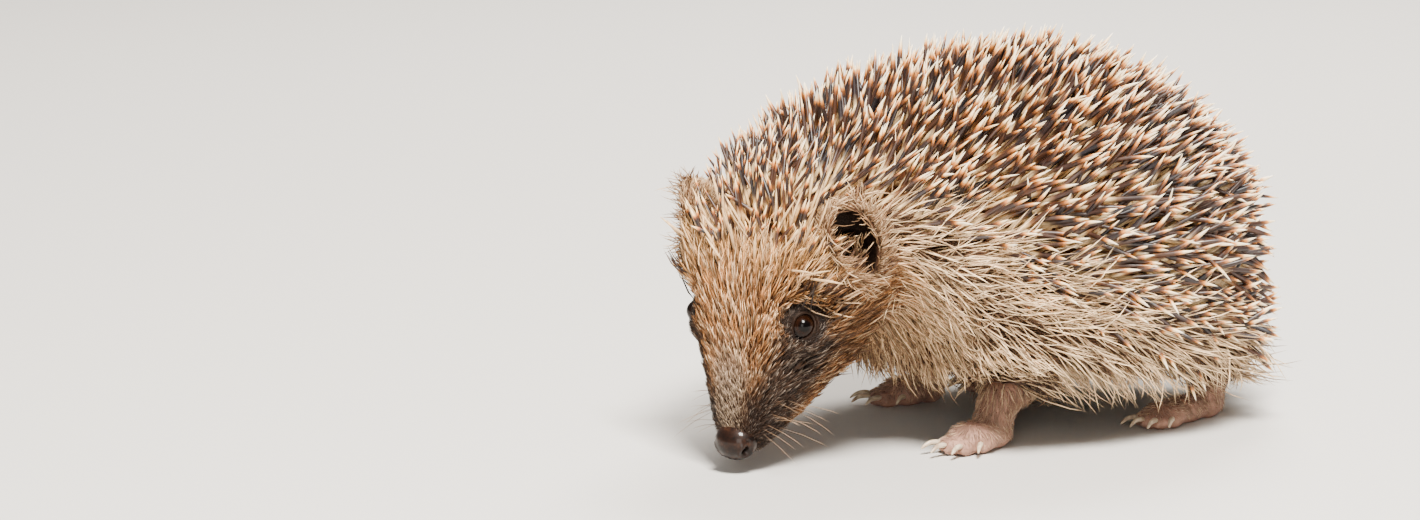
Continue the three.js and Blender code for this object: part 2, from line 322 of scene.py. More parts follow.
def near_line(points, start, end):
    """How far each point is from a line between two points."""
    start, end = np.array(start, float), np.array(end, float)
    along = np.clip((points - start) @ (end - start) / ((end - start) @ (end - start)), 0, 1)
    return np.linalg.norm(points - start - along[:, None] * (end - start), axis=1)


def on_both_sides(places):
    """Head places as behind, distance to either side, and rise."""
    behind, side, rise = in_head(places)
    return np.stack([behind, abs(side), rise], axis=1)


def eye_ways(hand):
    """Out of the eye, towards the nose and towards the crown."""
    out = unit(0.74 * hand * LEFT + 0.60 * CROWN + 0.22 * FORWARD)
    nose = unit(FORWARD - out * (FORWARD @ out))
    up = unit(CROWN - out * (CROWN @ out) - nose * (CROWN @ nose))
    return out, nose, up


def eye_centre(hand):
    return head_place(EYE_BEHIND, EYE_SIDE * hand, EYE_RISE) - eye_ways(hand)[0] * EYE_SET


def ear_ways(hand):
    """Out of the ear's opening, across it, and from its base to its tip."""
    upright = unit(-0.5 * FORWARD - 0.12 * hand * LEFT + 0.84 * CROWN)
    opening = 0.55 * FORWARD + 0.84 * hand * LEFT
    opening = unit(opening - upright * (opening @ upright))
    return opening, np.cross(upright, opening), upright


def ear_centre(hand):
    return head_place(EAR_BEHIND, EAR_SIDE * hand, EAR_RISE)


def ear_distance(places):
    """1 at the edge of the nearer ear, less within it and more away from it."""
    nearest = np.full(len(places), 99.0)
    for hand in (1, -1):
        local = (places - ear_centre(hand)) @ np.array(ear_ways(hand)).T
        nearest = np.minimum(nearest, np.linalg.norm(local / EAR_REACH, axis=1))
    return nearest


def ear_hollow(places):
    """1 in the hollow of an ear and 0 outside it."""
    within = np.zeros(len(places))
    for hand in (1, -1):
        opening, _, upright = ways = ear_ways(hand)
        away = places - ear_centre(hand)
        local = (away - opening * HOLLOW_OUT) @ np.array(ways).T
        deep = np.linalg.norm(local / (np.array(EAR_HOLLOW) / 2), axis=1)
        within = np.maximum(within, smooth(1.12, 0.98, deep))
        local = (away + opening * CANAL_IN + upright * CANAL_DOWN) @ np.array(ways).T
        within = np.maximum(within, smooth(1.2, 1.0, np.linalg.norm(local / CANAL_REACH, axis=1)))
    return within


def eye_distance(places):
    """How far each place is from the nearer eye, in mm."""
    local = on_both_sides(places)
    return np.linalg.norm(local - (EYE_BEHIND - 0.5, EYE_SIDE + 2, EYE_RISE + 1.5), axis=1)


TAN, BROWN, CREAM = colour(190, 130, 76), colour(62, 37, 22), colour(254, 202, 144)
WHITISH, MASK = colour(255, 222, 178), colour(42, 32, 27)
UNDER, BELLY_FUR, PINK = colour(84, 50, 31), colour(136, 93, 61), colour(162, 126, 110)
# Ear skin, and near-black in each ear's hollow and canal: its own dark skin with painted shade.
EAR_SKIN, EAR_HOLLOW_SKIN_AND_SHADE = colour(96, 68, 52), colour(20, 14, 12)


def chest_shade_share(places):
    """The share of painted shade on the neck and chest below the cheeks."""
    return smooth(-18, -34, places[:, 1]) * smooth(-66, -54, places[:, 1]) * smooth(46, 34, places[:, 2])


def markings_and_shade(places):
    """Colours of the fur's tips and of its roots and the skin under it, all over the body: the coat's own
    markings, with painted shade on the throat, the chest, the lower flanks and in the ears' hollows.
    """
    local = on_both_sides(places)
    behind, side, rise = local.T
    x, y, z = places.T
    crown = smooth(28, 44, behind) * smooth(8, 20, rise)
    tips = mix(TAN, colour(232, 180, 116), crown)
    jaw = smooth(1, -9, rise) * smooth(12, 22, behind)
    tips = mix(tips, colour(152, 110, 80), jaw * 0.8)
    cheek = smooth(54, 42, z)
    body = np.maximum(smooth(40, 56, behind) * smooth(18, 24, side), smooth(-60, -40, y - 12 * cheek))
    tips = mix(tips, CREAM, body)
    roots = mix(BROWN, UNDER, body)
    flank = smooth(-62, -38, y - 14 * cheek)
    tips = mix(tips, WHITISH, flank)
    under = smooth(20, 12, z) * smooth(46, 36, abs(x)) * smooth(-60, -40, y)
    # Painted shade: the throat's tips browned to the belly's fur colour; on the belly that colour is the
    # fur's own.
    throat = smooth(36, 24, z) * smooth(-62, -50, y) * smooth(-14, -26, y) * smooth(42, 30, abs(x))
    tips = mix(tips, BELLY_FUR, np.maximum(under, throat * 0.85))
    # Painted shade: browner tips and darker roots on the neck and chest under the cheeks.
    chest = chest_shade_share(places)
    tips = mix(tips, colour(152, 108, 70), chest * 0.8)
    roots = mix(roots, roots * 0.55, chest)
    # Painted shade: tips and roots darker low on the flanks and along the fringe.
    low = smooth(30, 14, z) * smooth(-60, -40, y)
    tips = mix(tips, tips * 0.5, low)
    roots = mix(roots, roots * 0.6, low)
    bridge = smooth(24, 12, behind) * smooth(6, 2, side) * smooth(0, 4, rise)
    tips = mix(tips, colour(188, 162, 136), bridge)
    line = near_line(local, (2, 6.5, -2), (26, 16, 8))
    mask = smooth(10.5, 4.6, line) * smooth(34, 26, behind) * 0.92
    mask = np.maximum(mask, smooth(15, 9, behind) * smooth(2.5, 4.5, side) * 0.95)
    mask = np.maximum(mask, smooth(7.4, 5.0, eye_distance(places)))
    tips = mix(tips, MASK, mask)
    roots = mix(roots, colour(30, 20, 15), np.maximum(mask, smooth(16, 6, behind) * 0.8))
    ear = smooth(1.25, 0.95, ear_distance(places))
    roots = mix(roots, EAR_SKIN, ear)
    # The ear's own dark skin in its hollow and canal, made near-black there as painted shade.
    roots = mix(roots, EAR_HOLLOW_SKIN_AND_SHADE, ear_hollow(places))
    tips = mix(tips, colour(186, 146, 106), ear)
    leg = smooth(17, 12, z) * smooth(-60, -50, y) * (1 - under * 0.4 * smooth(7, 12, z))
    roots = mix(roots, PINK, leg)
    tips = mix(tips, colour(156, 130, 110), leg)
    return tips, roots, mask


# ---------------------------------------------------------------- skin


def ball(name, centre, ways, sizes, around=32, along=24):
    """An egg with its middle at a place in mm, and its three sizes along three ways."""
    bpy.ops.object.select_all(action="DESELECT")
    bpy.ops.mesh.primitive_uv_sphere_add(segments=around, ring_count=along, radius=0.5 * MM)
    made = bpy.context.object
    made.name = made.data.name = name
    write(made, (read(made) * sizes) @ np.array(ways) + centre)
    return made


def carve(made, tool, remove=True):
    apply(made, "BOOLEAN", operation="DIFFERENCE", object=tool, solver="MANIFOLD")
    if remove:
        bpy.data.objects.remove(tool)


def make_ear(hand, core):
    """A cup with a rolled rim, set in the side of the head, with its canal carved from it."""
    opening, _, upright = ways = ear_ways(hand)
    centre = ear_centre(hand)
    ear = ball("ear", centre - opening * EAR_IN, ways, EAR_SIZE)
    hollow = ball("hollow", centre + opening * HOLLOW_OUT, ways, EAR_HOLLOW)
    canal = ball("canal", centre - opening * CANAL_IN - upright * CANAL_DOWN, ways, EAR_CANAL)
    front = ball("front", centre + opening * (RIM_BALL / 2 + RIM_OUT), ways, (RIM_BALL,) * 3, 64, 48)
    for tool in (hollow, canal):
        carve(ear, tool, remove=False)
        carve(core, tool)
    carve(ear, front)
    return ear


def hold_to_depth(core, edges):
    """Moves the head's skin to the coat's depth inside its outside, where smoothing has drawn it in."""
    for _ in range(3):
        places, normals = read(core), normals_of(core)
        behind, _, rise = in_head(places)
        front = np.flatnonzero((behind < 46) & (rise < 22) & (places[:, 1] < -30))
        share = smooth(46, 34, behind[front]) * smooth(22, 16, rise[front]) * smooth(6, 10, behind[front])
        miss = coat_depth(places, normals)[front] + height_over(outside_tree, places[front])
        move = np.zeros(len(places))
        move[front] = -np.clip(miss, -3, 3) * share * 0.8
        places += normals * move[:, None]
        places += (neighbours_mean(places, edges) - places) * 0.25 * smooth(0, 0.2, abs(move))[:, None]
        write(core, places)


SINKING_STEPS = 14


def make_skin():
    """One skin for head, neck, trunk, tail, ears, legs and feet."""
    trunk = copy_of(["trunk"], "trunk_core")
    edit_all(bpy.ops.mesh.convex_hull)
    front = copy_of(["head", "neck"], "front_core")
    fatten(front, 0.3)
    core = joined([trunk, front])
    remesh(core, CORE_VOXEL)
    places, edges = read(core), edges_of(core)
    relax(core, 6, 0.5 * smooth(20, 60, in_head(places)[0]) + 0.1)
    places = read(core)
    depth = coat_depth(places, normals_of(core))[:, None]
    softness = np.clip(depth / 9, 0.02, 1) * 0.6
    for _ in range(SINKING_STEPS):
        places -= normals_of(core) * depth / SINKING_STEPS
        for _ in range(3):
            places += (neighbours_mean(places, edges) - places) * softness
        write(core, places)
    hold_to_depth(core, edges)
    ears = [make_ear(hand, core) for hand in (1, -1)]
    limbs = copy_of(LIMBS + ("tail",), "limb_cores")
    muzzle_end = ball("muzzle_end", head_place(MUZZLE_END_BEHIND, 0, 0), (FORWARD, LEFT, CROWN), MUZZLE_END)
    skin = joined([core, limbs, muzzle_end, *ears])
    skin.name = skin.data.name = "skin"
    remesh(skin, SKIN_VOXEL)
    places = read(skin)
    low = smooth(12, 6, places[:, 2]) * smooth(-60, -50, places[:, 1])
    ear = smooth(1.5, 1.1, ear_distance(places))
    body = 0.35 + 0.65 * smooth(15, 45, behind_nose(places))
    relax(skin, 7, 0.5 * (1 - 0.8 * np.maximum(low, ear)) * body)
    return skin


LID_OPENING = 2.5
# How high the lids stand over the edge of their opening, by distance outwards from it.
LID_FORM = ([0, 0.35, 0.9, 1.4, 2.2, 3.4, 5], [0, 0.06, -0.45, -0.5, -0.95, -1.7, -2.2])


def lid_edge(towards_nose, up):
    """How far outside the lids' opening each place is, and the opening's radius there, in mm."""
    angle = np.arctan2(up, towards_nose)
    corner = np.exp(-((angle / 0.42) ** 2)) * 0.2 + np.exp(-(((abs(angle) - np.pi) / 0.4) ** 2)) * 0.07
    opening = LID_OPENING * (1 + 0.07 * np.cos(2 * angle) + corner)
    return np.hypot(towards_nose, up) - opening, opening


def shape_lids(skin, hand):
    """Draws the skin round the eyeball into two lids, a crease and a soft fold."""
    centre = eye_centre(hand)
    refine(skin, centre, 9)
    refine(skin, centre, 7)
    out, nose, up = eye_ways(hand)
    places = read(skin)
    away = places - centre
    height, x, y = away @ out, away @ nose, away @ up
    near = (np.linalg.norm(away, axis=1) < 9) & (height > -2.5)
    edge, opening = lid_edge(x[near], y[near])
    radius = np.hypot(x[near], y[near])
    ball_top = np.sqrt(np.maximum(EYE_RADIUS**2 - radius**2, 0))
    rim = np.sqrt(EYE_RADIUS**2 - np.minimum(opening, 3.0) ** 2) + 0.3
    lids = rim + np.interp(edge, *LID_FORM)
    under = ball_top - 0.7
    lids = under + (lids - under) * smooth(-0.28, 0.06, edge)
    share = smooth(5.4, 2.4, edge)
    places[near] += np.outer((lids - height[near]) * share, out)
    write(skin, places)


def shape_mouth(skin):
    """Draws the line of the mouth along both sides of the muzzle and round its end."""
    refine(skin, head_place(11, 0, -2), 12)
    places = read(skin)
    normals = normals_of(skin)
    behind, _, rise = in_head(places)
    line = -3.4 - 0.28 * (behind - 3)
    share = smooth(5, 7.5, behind) * smooth(20, 15, behind) * smooth(4, -1, rise)
    groove = np.exp(-(((rise - line) / 0.55) ** 2)) * 0.75
    lip = np.exp(-(((rise - line - 1.3) / 0.8) ** 2)) * 0.3
    places += normals * ((lip - groove) * share * (abs(normals @ CROWN) < 0.9))[:, None]
    write(skin, places)
    relax(skin, 3, 0.5 * smooth(12, 8, behind))


skin = make_skin()
for hand in (1, -1):
    shape_lids(skin, hand)
shape_mouth(skin)
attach(skin, "root")
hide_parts(*FLESH)


# ---------------------------------------------------------------- roots of the coat


def skin_triangles():
    """Corner places, corner normals and areas of the skin's triangles."""
    mesh = skin.data
    mesh.calc_loop_triangles()
    corners = np.zeros(len(mesh.loop_triangles) * 3, int)
    mesh.loop_triangles.foreach_get("vertices", corners)
    corners = corners.reshape(-1, 3)
    places, normals = read(skin), normals_of(skin)
    edges = edges_of(skin)
    for _ in range(3):
        normals = unit(neighbours_mean(normals, edges) + normals)
    a, b, c = (places[corners[:, i]] for i in range(3))
    areas = np.linalg.norm(np.cross(b - a, c - a), axis=1) / 2
    return places[corners], normals[corners], areas


CORNERS, CORNER_NORMALS, AREAS = skin_triangles()
CENTRES = CORNERS.mean(axis=1)
CENTRE_NORMALS = unit(CORNER_NORMALS.mean(axis=1))


NEXT_CELLS = [(x, y, z) for x in (-1, 0, 1) for y in (-1, 0, 1) for z in (-1, 0, 1)]


def thinned(places, spacing):
    """Which places to keep so that none lies nearer to another than the spacing."""
    cells = np.floor(places / spacing).astype(int)
    taken, kept = {}, []
    for i, (cell, place) in enumerate(zip(map(tuple, cells), places)):
        x, y, z = cell
        near = (n for dx, dy, dz in NEXT_CELLS for n in taken.get((x + dx, y + dy, z + dz), ()))
        gaps = (places[n] - place for n in near)
        if not any(gap @ gap < spacing * spacing for gap in gaps):
            taken.setdefault(cell, []).append(i)
            kept.append(i)
    return np.array(kept, int)


# How many places are tried for each root that is wanted, and how evenly the kept ones spread.
TRIES, CLOSENESS = 2.2, 0.62


def scatter(density, per_area, rng):
    """Roots on the skin: density gives the share of per_area, in roots per square mm."""
    wanted = AREAS * density(CENTRES, CENTRE_NORMALS) * per_area
    count = int(wanted.sum() * TRIES)
    chosen = rng.choice(len(AREAS), count, p=wanted / wanted.sum())
    u, v = rng.random((2, count))
    flip = u + v > 1
    u, v = np.where(flip, 1 - u, u), np.where(flip, 1 - v, v)
    shares = np.stack([1 - u - v, u, v], axis=1)[..., None]
    places = (CORNERS[chosen] * shares).sum(axis=1)
    normals = unit((CORNER_NORMALS[chosen] * shares).sum(axis=1))
    kept = thinned(places, math.sqrt(CLOSENESS / per_area))
    return places[kept], normals[kept]


# ---------------------------------------------------------------- lie of the coat


def lie(places, normals):
    """The way the coat lies: back along the head, then along the body and down the flanks."""
    behind, side, rise = in_head(places)
    x, y, z = places.T
    body = np.maximum(
        smooth(14, -16, rise) * smooth(16, 40, behind) * 0.85,
        np.maximum(smooth(46, 70, behind) * smooth(-10, 10, rise), smooth(-58, -38, y)),
    )
    fall = -0.35 + 0.4 * smooth(68, 52, z) + 0.35 * smooth(52, 34, z)
    fall = fall + 0.8 * smooth(31, 17, z) * smooth(-36, -14, y)
    apart = np.sign(x) * 2.0 * smooth(-0.1, -0.7, normals[:, 1]) * smooth(4, 18, abs(x))
    back = np.stack([apart, np.ones(len(y)), -fall], axis=1)
    fan = np.clip(side / 20, -1, 1) * smooth(14, 34, behind) * 0.5
    along = unit(np.outer(fan, LEFT) - FORWARD)
    return across(mix(along, unit(back), body), normals)


def quills_lie(places, normals):
    """The way the quills point: up and apart over the brow, then back and fanned over the sides."""
    side = in_head(places)[1]
    x, y, z = places.T
    fall = 0.12 - 0.5 * smooth(36, 58, z) + 0.25 * smooth(45, 75, y)
    back = np.stack([np.clip(x / 60, -1, 1) * 0.3, np.ones(len(y)), -fall], axis=1)
    brow = unit(np.outer(np.clip(side / 20, -1, 1) * 0.6, LEFT) - FORWARD)
    return across(mix(brow, unit(back), smooth(-50, -24, y)), normals)


def quills_stand(places, normals):
    """How far the quills stand up from the skin, in degrees: most over the brow and the back."""
    y = places[:, 1]
    over = smooth(0.1, 0.85, normals[:, 2])
    back = 33 + 33 * over - 8 * smooth(20, 70, y)
    side = abs(in_head(places)[1])
    return back + (46 + 20 * smooth(13, 24, side) - back) * smooth(-30, -54, y)


def turned(ways, normals, angles):
    """Turns each way round its normal, by an angle in degrees."""
    angles = np.radians(angles)[:, None]
    return ways * np.cos(angles) + np.cross(normals, ways) * np.sin(angles)


def leaning(ways, normals, angles):
    """The ways raised from the surface by an angle in radians."""
    return ways * np.cos(angles)[:, None] + normals * np.sin(angles)[:, None]


def settle(roots, normals, ways, lengths, heights, lowest, highest):
    """Leans each hair so that its tip ends at its height over the outside of the coat."""
    start = np.array(height_over(outside_tree, roots))
    lean = np.arcsin(np.clip((heights - start) / lengths, -0.9, 0.95))
    lean = np.clip(lean, lowest, highest)
    for _ in range(2):
        tips = roots + lengths[:, None] * leaning(ways, normals, lean)
        miss = heights - height_over(outside_tree, tips)
        lean = np.clip(lean + miss / (lengths * np.maximum(np.cos(lean), 0.45)), lowest, highest)
    return lean


# ---------------------------------------------------------------- hairs and quills as meshes


BODY_AXIS = 42


def unwrap(places):
    """Where each root lies on an unwrap of the skin: round the body, and along it."""
    behind, side, rise = in_head(places)
    x, y, z = places.T
    on_head = smooth(-40, -60, y)
    on_body = 1 - on_head
    angle = np.arctan2(x * on_body + side * on_head, (z - BODY_AXIS) * on_body + rise * on_head)
    spots = np.stack([0.5 + angle / (2 * np.pi), y * on_body + (-behind - 10) * on_head], axis=1)
    low, high = spots.min(axis=0), spots.max(axis=0)
    return (spots - low) / (high - low + 1e-9)


# The size of one hair's patch on the unwrap, the cells along its side, and how far a patch may move.
PATCH = 0.003
CELLS = 296
RINGS = 24
NEAR_FIRST = [
    (i, j)
    for reach in range(RINGS)
    for i in range(-reach, reach + 1)
    for j in range(-reach, reach + 1)
    if max(abs(i), abs(j)) == reach
]


def own_cells(spots):
    """A cell of its own for each root, as near as can be to its spot on the unwrap."""
    wanted = np.clip((spots * (CELLS - 1)).round().astype(int), 0, CELLS - 1)
    taken = np.zeros((CELLS, CELLS), bool)
    cells = np.zeros_like(wanted)
    for n, (i, j) in enumerate(wanted.tolist()):
        near = ((i + di, j + dj) for di, dj in NEAR_FIRST)
        free = (cell for cell in near if min(cell) >= 0 and max(cell) < CELLS and not taken[cell])
        cell = next(free, None)
        if cell:
            taken[cell] = True
            cells[n] = cell
    return cells / CELLS + 0.1 / CELLS


def hair_faces(profile, sides):
    """One hair's corners, how many each face has, and each corner's spot round and along the hair."""
    rings = len(profile)
    ends = np.concatenate([[0], profile[:, 0], [1]])
    j = np.arange(sides)
    k = (j + 1) % sides
    left, right, middle = j / sides, (j + 1) / sides, (j + 0.5) / sides
    faces, spots, sizes = [], [], []

    def add(corners, across_hair, along_hair):
        faces.append(np.stack(corners, axis=1).ravel())
        places = [np.stack([u, np.full(sides, v)], axis=1) for u, v in zip(across_hair, along_hair)]
        spots.append(np.stack(places, axis=1).reshape(-1, 2))
        sizes.extend([len(corners)] * sides)

    for ring in range(rings - 1):
        low, high = 1 + ring * sides, 1 + (ring + 1) * sides
        a, b = ends[ring + 1], ends[ring + 2]
        add([low + j, low + k, high + k, high + j], [left, right, right, left], [a, a, b, b])
    last, tip = 1 + (rings - 1) * sides, 1 + rings * sides
    low, high = ends[1], ends[-2]
    add([np.zeros(sides, int), 1 + k, 1 + j], [middle, right, left], [0, low, low])
    add([last + j, last + k, np.full(sides, tip)], [left, right, middle], [high, high, 1])
    return np.concatenate(faces), np.array(sizes), np.concatenate(spots)


def hair_mesh(name, roots, bends, tips, normals, widths, profile, sides, tints, tint_curve, lots):
    """Joins many tapered hairs in one mesh: each a point at the root, rings, and a point at the tip."""
    count = len(roots)
    profile = np.array(profile)
    rings = len(profile)
    t = profile[:, 0][None, :, None]
    line = (1 - t) ** 2 * roots[:, None] + 2 * t * (1 - t) * bends[:, None] + t * t * tips[:, None]
    run = unit(2 * (1 - t) * (bends - roots)[:, None] + 2 * t * (tips - bends)[:, None])
    first = unit(np.cross(run, normals[:, None] + 1e-6))
    second = np.cross(run, first)
    angles = np.arange(sides) / sides * 2 * np.pi + 0.4
    cosines, sines = (turn(angles)[None, None, :, None] for turn in (np.cos, np.sin))
    circle = first[:, :, None] * cosines + second[:, :, None] * sines
    radius = widths[:, None] / 2 * profile[:, 1][None, :]
    shell = line[:, :, None] + circle * radius[:, :, None, None]
    each = rings * sides + 2
    shell = shell.reshape(count, rings * sides, 3)
    points = np.concatenate([roots[:, None], shell, tips[:, None]], axis=1).reshape(-1, 3)
    faces, sizes, spots = hair_faces(profile, sides)
    starts = np.concatenate([[0], np.cumsum(sizes)[:-1]])
    corners = (faces[None] + np.arange(count)[:, None] * each).ravel()
    starts = (starts[None] + np.arange(count)[:, None] * len(faces)).ravel()
    mesh = bpy.data.meshes.new(name)
    mesh.vertices.add(len(points))
    mesh.vertices.foreach_set("co", (points * MM).ravel())
    mesh.loops.add(len(corners))
    mesh.loops.foreach_set("vertex_index", corners)
    mesh.polygons.add(len(starts))
    mesh.polygons.foreach_set("loop_start", starts)
    mesh.update(calc_edges=True)
    patches = own_cells(unwrap(roots))[:, None] + spots[None] * PATCH
    mesh.uv_layers.new(name="OFBake").data.foreach_set("uv", patches.ravel())
    along = np.concatenate([[0], np.repeat(profile[:, 0], sides), [1]])
    share = (along[None] ** tint_curve)[..., None]
    root_tint, tip_tint = tints
    tint = root_tint[:, None] * (1 - share) + tip_tint[:, None] * share
    mark(mesh, "along", np.tile(along, count))
    mark(mesh, "lot", np.repeat(lots, each))
    tinge(mesh, tint.reshape(-1, 3))
    return link(name, mesh)


# ---------------------------------------------------------------- materials


def material(name):
    made = bpy.data.materials.new(name)
    made.use_nodes = True
    nodes, links = made.node_tree.nodes, made.node_tree.links
    shader = nodes["Principled BSDF"]
    return made, nodes, links, shader


def node(nodes, kind, **settings):
    made = nodes.new(kind)
    for key, value in settings.items():
        setattr(made, key, value)
    return made


def noise(nodes, links, scale, detail=3, distortion=0.0):
    """A noise pattern in the object's own space."""
    place = node(nodes, "ShaderNodeTexCoord")
    made = node(nodes, "ShaderNodeTexNoise")
    for entry, value in (("Scale", scale), ("Detail", detail), ("Distortion", distortion)):
        made.inputs[entry].default_value = value
    links.new(place.outputs["Object"], made.inputs["Vector"])
    return made.outputs["Fac"]


def attribute(nodes, name):
    return node(nodes, "ShaderNodeAttribute", attribute_name=name)


def ramp(nodes, links, value, stops):
    """Turns a value into a colour, by the colours at its stops."""
    made = nodes.new("ShaderNodeValToRGB")
    elements = made.color_ramp.elements
    while len(elements) < len(stops):
        elements.new(0.5)
    for element, (place, shade) in zip(elements, stops):
        element.position = place
        element.color = (*shade, 1)
    links.new(value, made.inputs["Fac"])
    return made.outputs["Color"]


def sums(nodes, links, kind, first, second):
    """Adds, multiplies and so on two sockets or numbers."""
    made = node(nodes, "ShaderNodeMath", operation=kind)
    for place, value in enumerate((first, second)):
        if isinstance(value, (int, float)):
            made.inputs[place].default_value = value
        else:
            links.new(value, made.inputs[place])
    return made.outputs[0]


# Places of the colour sockets on the Mix node.
MIX_FACTOR, MIX_A, MIX_B, MIX_RESULT = 0, 6, 7, 2


def blend(nodes, links, kind, share, first, second):
    """Mixes two colours."""
    made = node(nodes, "ShaderNodeMix", data_type="RGBA", blend_type=kind)
    for entry, value in zip((MIX_FACTOR, MIX_A, MIX_B), (share, first, second)):
        if isinstance(value, (int, float)):
            made.inputs[entry].default_value = value
        elif isinstance(value, np.ndarray):
            made.inputs[entry].default_value = (*value, 1)
        else:
            links.new(value, made.inputs[entry])
    return made.outputs[MIX_RESULT]


def mottled(nodes, links, tint, pattern, dark, light):
    """A tint made darker and lighter by a pattern."""
    shade = ramp(nodes, links, pattern, [(0.3, dark), (0.7, light)])
    return blend(nodes, links, "MULTIPLY", 1.0, tint, shade)


def set_values(shader, **values):
    """Sets the shader's uniform values, named as on the shader with _ for each space."""
    for name, value in values.items():
        shader.inputs[name.replace("_", " ")].default_value = value


def bump(nodes, links, shader, height, strength, distance):
    made = node(nodes, "ShaderNodeBump")
    made.inputs["Strength"].default_value = strength
    made.inputs["Distance"].default_value = distance
    links.new(height, made.inputs["Height"])
    links.new(made.outputs["Normal"], shader.inputs["Normal"])


def fur_material():
    """Hair in the tints kept on it, painted shade included, a little streaked and dull."""
    made, nodes, links, shader = material("hedgehog_fur")
    tint = attribute(nodes, "tint").outputs["Color"]
    grain = noise(nodes, links, 900, 2)
    streaked = mottled(nodes, links, tint, grain, (0.74, 0.72, 0.7), (1.12, 1.1, 1.08))
    links.new(streaked, shader.inputs["Base Color"])
    set_values(shader, Roughness=0.55, Specular_IOR_Level=0.35)
    return made


# Colours along a quill, by share of its length from the root.
QUILL_FOOT = [(0.0, colour(112, 84, 58)), (0.14, colour(196, 160, 114)), (0.4, colour(232, 200, 150))]
BROWN_BAND = [
    (0.5, colour(128, 86, 50)),
    (0.58, colour(74, 46, 28)),
    (0.76, colour(58, 36, 24)),
    (0.82, colour(120, 70, 34)),
]
SLATE_BAND = [
    (0.5, colour(104, 92, 80)),
    (0.56, colour(44, 42, 46)),
    (0.77, colour(30, 28, 30)),
    (0.82, colour(94, 58, 34)),
]
QUILL_TIP = [(0.86, colour(204, 128, 60)), (0.9, colour(246, 208, 152)), (1.0, colour(255, 240, 210))]


def quill_material():
    """Quills, cream at the foot, banded dark brown or slate below an ivory tip."""
    made, nodes, links, shader = material("quill_horn")
    along = attribute(nodes, "along").outputs["Fac"]
    lot = attribute(nodes, "lot").outputs["Fac"]
    shift = sums(nodes, links, "MULTIPLY", sums(nodes, links, "SUBTRACT", lot, 0.5), 0.14)
    grain = noise(nodes, links, 700, 2)
    wobble = sums(nodes, links, "MULTIPLY", sums(nodes, links, "SUBTRACT", grain, 0.5), 0.05)
    place = sums(nodes, links, "ADD", sums(nodes, links, "ADD", along, shift), wobble)
    brown, slate = (
        ramp(nodes, links, place, QUILL_FOOT + band + QUILL_TIP) for band in (BROWN_BAND, SLATE_BAND)
    )
    kind = sums(nodes, links, "FRACT", sums(nodes, links, "MULTIPLY", lot, 7.0), 0.0)
    banded = blend(nodes, links, "MIX", kind, brown, slate)
    tint = attribute(nodes, "tint").outputs["Color"]
    links.new(blend(nodes, links, "MULTIPLY", 1.0, banded, tint), shader.inputs["Base Color"])
    set_values(shader, Roughness=0.38, Specular_IOR_Level=0.5)
    return made


def skin_material():
    """Skin, mottled and finely creased."""
    made, nodes, links, shader = material("hedgehog_skin")
    tint = attribute(nodes, "tint").outputs["Color"]
    spots = noise(nodes, links, 400, 4)
    flesh = mottled(nodes, links, tint, spots, (0.72, 0.7, 0.7), (1.15, 1.12, 1.1))
    links.new(flesh, shader.inputs["Base Color"])
    set_values(shader, Roughness=0.5, Specular_IOR_Level=0.2, Specular_Tint=(1.0, 0.84, 0.72, 1))
    bump(nodes, links, shader, noise(nodes, links, 2200, 3, 0.4), 0.5, 0.0003)
    return made


# ---------------------------------------------------------------- quills and fur


# Each hair's rings: how far along it each lies, and its share of the hair's width.
FINE_HAIR = [(0.3, 1.0), (0.7, 0.72)]
LONG_HAIR = [(0.18, 0.9), (0.5, 1.0), (0.8, 0.62)]
QUILL = [(0.05, 0.7), (0.3, 1.0), (0.74, 1.0), (0.86, 0.7), (0.95, 0.3)]
# The lowest that hair hangs, in mm over the floor, by place along the body.
HEM = ([-60, -44, -30, -14, 0, 20, 60], [15, 12, 10.5, 10.5, 9.5, 8, 8.5])
HEM_OVER_FORELEGS = 9
LOWEST_OFF_HEM = 0.5
# How deep in the skin each hair starts, and how far the hair over the hem is raised, in mm.
ROOTED, HEM_RISE = 0.3, 4.6
# Grey tips for pale hairs in the dark mask: partly the hairs' own grey, partly painted sheen.
MASK_GREY_AND_SHEEN = colour(150, 138, 128)


def hem_over(tips, rng):
    """How low each hair may hang: higher over the outside of both forelegs, and free under the head."""
    x, y, _ = tips.T
    lowest = np.interp(y, *HEM) + rng.uniform(-2.2, 2.5, len(tips))
    beside = smooth(20, 34, abs(x)) * smooth(-56, -42, y) * smooth(6, -10, y)
    return (lowest + HEM_OVER_FORELEGS * beside) * smooth(-75, -60, y)


def shaded(tips, roots, mask, places, light, dark, rng):
    """Makes a share of the hairs pale to the tip, and a share dark, with fewer pale and more dark ones on
    the chest as painted shade.
    """
    kind = rng.random(len(places))
    # Pale hairs tip grey in the mask, partly their own colour and partly painted sheen.
    pale = mix(WHITISH, MASK_GREY_AND_SHEEN, mask)
    # Painted shade: fewer pale hairs and more dark ones on the chest.
    chest = chest_shade_share(places)
    tips = mix(tips, pale, (kind < light * (1 - 0.65 * chest)) * 0.55)
    return mix(tips, roots, (kind > 1 - dark - 0.3 * chest * (dark > 0)) * 0.75)


